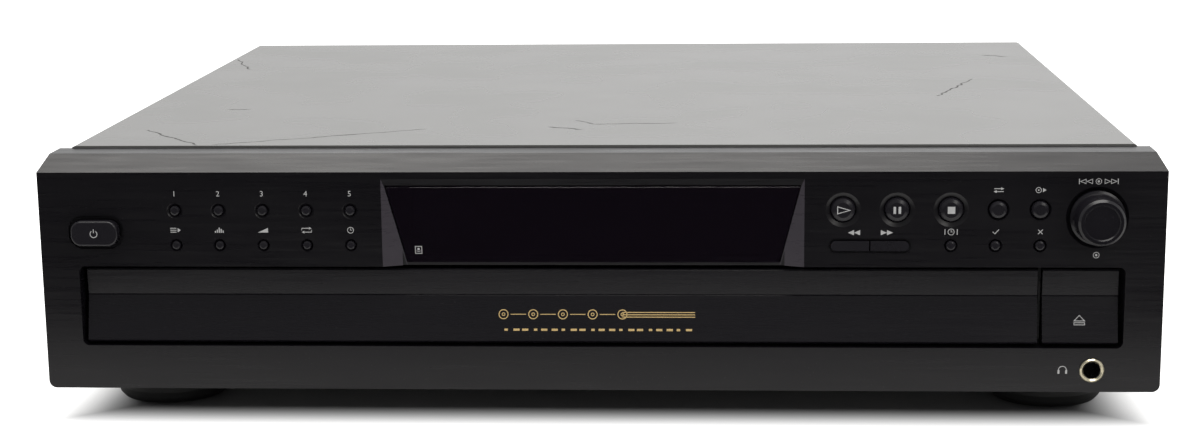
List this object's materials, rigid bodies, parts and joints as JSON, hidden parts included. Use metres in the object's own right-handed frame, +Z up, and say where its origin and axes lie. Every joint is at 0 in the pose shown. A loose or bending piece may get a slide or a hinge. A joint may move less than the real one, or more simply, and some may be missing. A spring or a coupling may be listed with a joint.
{
  "type": "multi disc cd changer",
  "caption": "Black full-width disc changer: a sliding drawer with a round turntable of disc wells, a wide display, a jog knob and rows of keys.",
  "frame": {"origin": "centre of the bounding box at floor level, under the cabinet", "axes": "+X to the right seen from the front, +Y to the rear, +Z up; the face looks towards -Y"},
  "size_m": [0.43, 0.4, 0.1085],
  "materials": {
    "panel_plastic": "satin",
    "window_tint": "gloss",
    "tube_glass": "gloss",
    "board_brown": "matte",
    "board_green": "satin",
    "jack_gold": "polished",
    "plated_steel": "satin",
    "cover_paint": "satin",
    "rear_paint": "satin",
    "foot_plastic": "matte",
    "core_iron": "satin",
    "black_plastic": "satin",
    "frame_plastic": "matte",
    "motor_steel": "satin",
    "belt_rubber": "matte",
    "gear_acetal": "satin",
    "tray_plastic": "satin",
    "front_plastic": "satin",
    "carousel_plastic": "satin",
    "rod_steel": "polished",
    "key_plastic": "satin",
    "knob_plastic": "satin",
    "shaft_alloy": "satin"
  },
  "bodies": {
    "cabinet": {"front_panel": "panel_plastic", "display_window": "window_tint", "display_tube": "tube_glass", "panel_board": "board_brown", "headphone_jack": "jack_gold", "bottom_chassis": "plated_steel", "rear_panel": "rear_paint", "top_cover": "cover_paint", "feet": "foot_plastic", "power_transformer": "core_iron", "main_board": "board_green", "line_out_jacks": "black_plastic", "optical_output": "black_plastic", "cord_gland": "black_plastic", "mechanism_frame": "frame_plastic", "loading_motor": "motor_steel", "loading_belt": "belt_rubber", "clamp_bridge": "frame_plastic"},
    "drawer": {"drawer_tray": "tray_plastic", "drawer_front": "front_plastic", "table_motor": "motor_steel"},
    "turntable": {"carousel": "carousel_plastic"},
    "table_gear": {"table_drive_gear": "gear_acetal"},
    "table_pinion": {"table_motor_pinion": "gear_acetal"},
    "loading_wheel": {"loading_gear": "gear_acetal"},
    "belt_wheel": {"loading_pulley_gear": "gear_acetal"},
    "motor_wheel": {"loading_motor_pulley": "gear_acetal"},
    "lift_cam": {"lift_cam_slider": "gear_acetal"},
    "deck": {"base_unit": "black_plastic", "spindle_motor": "motor_steel", "guide_rods": "rod_steel"},
    "spindle": {"spindle_hub": "gear_acetal"},
    "pickup": {"optical_pickup": "black_plastic"},
    "sled_wheel": {"sled_gear": "gear_acetal"},
    "clamp": {"clamp_puck": "gear_acetal"},
    "jog_rotor": {"encoder_rotor": "gear_acetal"},
    "jog": {"jog_knob": "knob_plastic", "encoder_shaft": "shaft_alloy"},
    "power_key": {"power_button": "key_plastic"},
    "open_close_key": {"open_close_button": "front_plastic"},
    "disc_key_1": {"disc_button_1": "key_plastic"},
    "disc_key_2": {"disc_button_2": "key_plastic"},
    "disc_key_3": {"disc_button_3": "key_plastic"},
    "disc_key_4": {"disc_button_4": "key_plastic"},
    "disc_key_5": {"disc_button_5": "key_plastic"},
    "play_mode_key": {"play_mode_button": "key_plastic"},
    "peak_search_key": {"peak_search_button": "key_plastic"},
    "fader_key": {"fader_button": "key_plastic"},
    "repeat_key": {"repeat_button": "key_plastic"},
    "time_key": {"time_button": "key_plastic"},
    "play_key": {"play_button": "key_plastic"},
    "pause_key": {"pause_button": "key_plastic"},
    "stop_key": {"stop_button": "key_plastic"},
    "search_back_key": {"search_back_button": "key_plastic"},
    "search_forward_key": {"search_forward_button": "key_plastic"},
    "exchange_key": {"exchange_button": "key_plastic"},
    "disc_skip_key": {"disc_skip_button": "key_plastic"},
    "time_edit_key": {"time_edit_button": "key_plastic"},
    "check_key": {"check_button": "key_plastic"},
    "clear_key": {"clear_button": "key_plastic"}
  },
  "joints": [
    {"name": "drawer_slide", "type": "slide", "parent": "cabinet", "child": "drawer", "axis": [0, -1, 0], "range_m": [0, 0.2]},
    {"name": "carousel_turn", "type": "hinge", "parent": "drawer", "child": "turntable", "pos_m": [-0.0153, -0.004, 0.045], "axis": [0, 0, 1], "continuous": true},
    {"name": "table_gear_turn", "type": "hinge", "parent": "drawer", "child": "table_gear", "pos_m": [-0.02854, -0.02219, 0.048], "axis": [0, 0, 1], "continuous": true},
    {"name": "table_pinion_turn", "type": "hinge", "parent": "drawer", "child": "table_pinion", "pos_m": [-0.01076, -0.02502, 0.047], "axis": [0, 0, 1], "continuous": true},
    {"name": "loading_gear_turn", "type": "hinge", "parent": "cabinet", "child": "loading_wheel", "pos_m": [0.113, -0.128, 0.032], "axis": [0, 0, 1], "continuous": true},
    {"name": "belt_wheel_turn", "type": "hinge", "parent": "cabinet", "child": "belt_wheel", "pos_m": [0.077, -0.128, 0.024], "axis": [0, 0, 1], "continuous": true},
    {"name": "motor_wheel_turn", "type": "hinge", "parent": "cabinet", "child": "motor_wheel", "pos_m": [0.032, -0.128, 0.024], "axis": [0, 0, 1], "continuous": true},
    {"name": "deck_lift", "type": "slide", "parent": "cabinet", "child": "deck", "axis": [0, 0, 1], "range_m": [0, 0.01]},
    {"name": "cam_slide", "type": "slide", "parent": "cabinet", "child": "lift_cam", "axis": [-1, 0, 0], "range_m": [0, 0.02]},
    {"name": "spindle_spin", "type": "hinge", "parent": "deck", "child": "spindle", "pos_m": [-0.0153, 0.1, 0.035], "axis": [0, 0, 1], "continuous": true},
    {"name": "pickup_slide", "type": "slide", "parent": "deck", "child": "pickup", "axis": [0, 1, 0], "range_m": [0, 0.034]},
    {"name": "sled_gear_turn", "type": "hinge", "parent": "deck", "child": "sled_wheel", "pos_m": [-0.0488, 0.135, 0.027], "axis": [0, 0, 1], "continuous": true},
    {"name": "clamp_spin", "type": "hinge", "parent": "cabinet", "child": "clamp", "pos_m": [-0.0153, 0.1, 0.052], "axis": [0, 0, 1], "continuous": true},
    {"name": "jog_turn", "type": "hinge", "parent": "cabinet", "child": "jog_rotor", "pos_m": [0.1892, -0.176, 0.0838], "axis": [0, -1, 0], "continuous": true},
    {"name": "jog_push", "type": "slide", "parent": "jog_rotor", "child": "jog", "axis": [0, 1, 0], "range_m": [0, 0.001], "stiffness_N_per_m": 1500},
    {"name": "power_press", "type": "slide", "parent": "cabinet", "child": "power_key", "axis": [0, 1, 0], "range_m": [0, 0.003], "stiffness_N_per_m": 700},
    {"name": "open_close_press", "type": "slide", "parent": "cabinet", "child": "open_close_key", "axis": [0, 1, 0], "range_m": [0, 0.001], "stiffness_N_per_m": 1500},
    {"name": "disc_press_1", "type": "slide", "parent": "cabinet", "child": "disc_key_1", "axis": [0, 1, 0], "range_m": [0, 0.0006], "stiffness_N_per_m": 1200},
    {"name": "disc_press_2", "type": "slide", "parent": "cabinet", "child": "disc_key_2", "axis": [0, 1, 0], "range_m": [0, 0.0006], "stiffness_N_per_m": 1200},
    {"name": "disc_press_3", "type": "slide", "parent": "cabinet", "child": "disc_key_3", "axis": [0, 1, 0], "range_m": [0, 0.0006], "stiffness_N_per_m": 1200},
    {"name": "disc_press_4", "type": "slide", "parent": "cabinet", "child": "disc_key_4", "axis": [0, 1, 0], "range_m": [0, 0.0006], "stiffness_N_per_m": 1200},
    {"name": "disc_press_5", "type": "slide", "parent": "cabinet", "child": "disc_key_5", "axis": [0, 1, 0], "range_m": [0, 0.0006], "stiffness_N_per_m": 1200},
    {"name": "play_mode_press", "type": "slide", "parent": "cabinet", "child": "play_mode_key", "axis": [0, 1, 0], "range_m": [0, 0.0006], "stiffness_N_per_m": 1200},
    {"name": "peak_search_press", "type": "slide", "parent": "cabinet", "child": "peak_search_key", "axis": [0, 1, 0], "range_m": [0, 0.0006], "stiffness_N_per_m": 1200},
    {"name": "fader_press", "type": "slide", "parent": "cabinet", "child": "fader_key", "axis": [0, 1, 0], "range_m": [0, 0.0006], "stiffness_N_per_m": 1200},
    {"name": "repeat_press", "type": "slide", "parent": "cabinet", "child": "repeat_key", "axis": [0, 1, 0], "range_m": [0, 0.0006], "stiffness_N_per_m": 1200},
    {"name": "time_press", "type": "slide", "parent": "cabinet", "child": "time_key", "axis": [0, 1, 0], "range_m": [0, 0.0006], "stiffness_N_per_m": 1200},
    {"name": "play_press", "type": "slide", "parent": "cabinet", "child": "play_key", "axis": [0, 1, 0], "range_m": [0, 0.0006], "stiffness_N_per_m": 1200},
    {"name": "pause_press", "type": "slide", "parent": "cabinet", "child": "pause_key", "axis": [0, 1, 0], "range_m": [0, 0.0006], "stiffness_N_per_m": 1200},
    {"name": "stop_press", "type": "slide", "parent": "cabinet", "child": "stop_key", "axis": [0, 1, 0], "range_m": [0, 0.0006], "stiffness_N_per_m": 1200},
    {"name": "search_back_press", "type": "slide", "parent": "cabinet", "child": "search_back_key", "axis": [0, 1, 0], "range_m": [0, 0.0006], "stiffness_N_per_m": 1200},
    {"name": "search_forward_press", "type": "slide", "parent": "cabinet", "child": "search_forward_key", "axis": [0, 1, 0], "range_m": [0, 0.0006], "stiffness_N_per_m": 1200},
    {"name": "exchange_press", "type": "slide", "parent": "cabinet", "child": "exchange_key", "axis": [0, 1, 0], "range_m": [0, 0.0006], "stiffness_N_per_m": 1200},
    {"name": "disc_skip_press", "type": "slide", "parent": "cabinet", "child": "disc_skip_key", "axis": [0, 1, 0], "range_m": [0, 0.0006], "stiffness_N_per_m": 1200},
    {"name": "time_edit_press", "type": "slide", "parent": "cabinet", "child": "time_edit_key", "axis": [0, 1, 0], "range_m": [0, 0.0006], "stiffness_N_per_m": 1200},
    {"name": "check_press", "type": "slide", "parent": "cabinet", "child": "check_key", "axis": [0, 1, 0], "range_m": [0, 0.0006], "stiffness_N_per_m": 1200},
    {"name": "clear_press", "type": "slide", "parent": "cabinet", "child": "clear_key", "axis": [0, 1, 0], "range_m": [0, 0.0006], "stiffness_N_per_m": 1200}
  ],
  "couplings": [
    {"joint": "table_gear_turn", "follows": "carousel_turn", "ratio": 4},
    {"joint": "table_pinion_turn", "follows": "carousel_turn", "ratio": -10.4},
    {"joint": "loading_gear_turn", "follows": "drawer_slide", "rad_per_m": 55.556},
    {"joint": "belt_wheel_turn", "follows": "drawer_slide", "rad_per_m": -277.78},
    {"joint": "motor_wheel_turn", "follows": "drawer_slide", "rad_per_m": -1111.1},
    {"joint": "cam_slide", "follows": "deck_lift", "ratio": 2},
    {"joint": "sled_gear_turn", "follows": "pickup_slide", "rad_per_m": 125}
  ]
}
